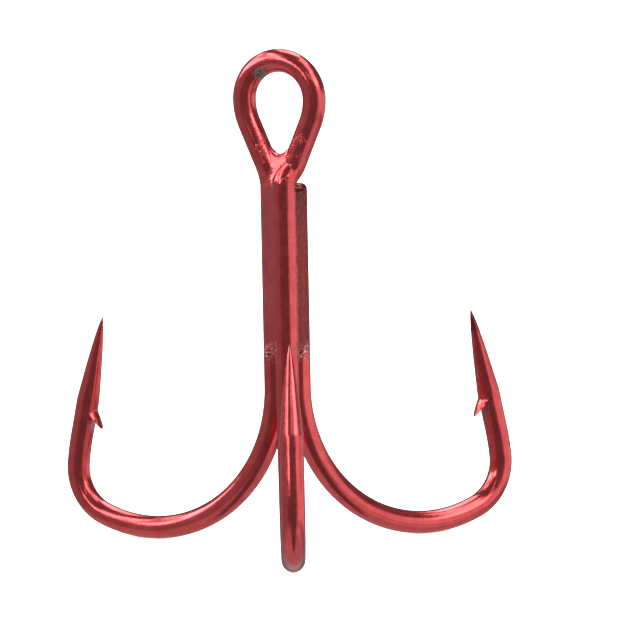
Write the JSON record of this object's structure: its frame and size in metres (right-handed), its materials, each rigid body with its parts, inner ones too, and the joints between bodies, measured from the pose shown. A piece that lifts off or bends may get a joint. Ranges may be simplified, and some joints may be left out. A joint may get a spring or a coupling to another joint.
{
  "type": "treble hook",
  "caption": "Barbed fishing hook with its points spread evenly round a brazed shank and a closed line eye, red lacquered.",
  "frame": {"origin": "centre of the line eye", "axes": "+Z along the shank from the hooks to the eye; the front hook points to -Y and the other two stand 120 degrees either side of it"},
  "size_m": [0.0316, 0.0276, 0.0346],
  "materials": {
    "lacquered_wire": "translucent red lacquer over bright wire, high gloss",
    "lacquered_braze": "translucent red lacquer over braze metal, slightly uneven gloss"
  },
  "bodies": {
    "root": {"double_hook": "lacquered_wire", "single_hook": "lacquered_wire", "braze_front_left": "lacquered_braze", "braze_front_right": "lacquered_braze", "braze_rear": "lacquered_braze", "braze_core": "lacquered_braze", "braze_throat": "lacquered_braze"}
  },
  "joints": []
}
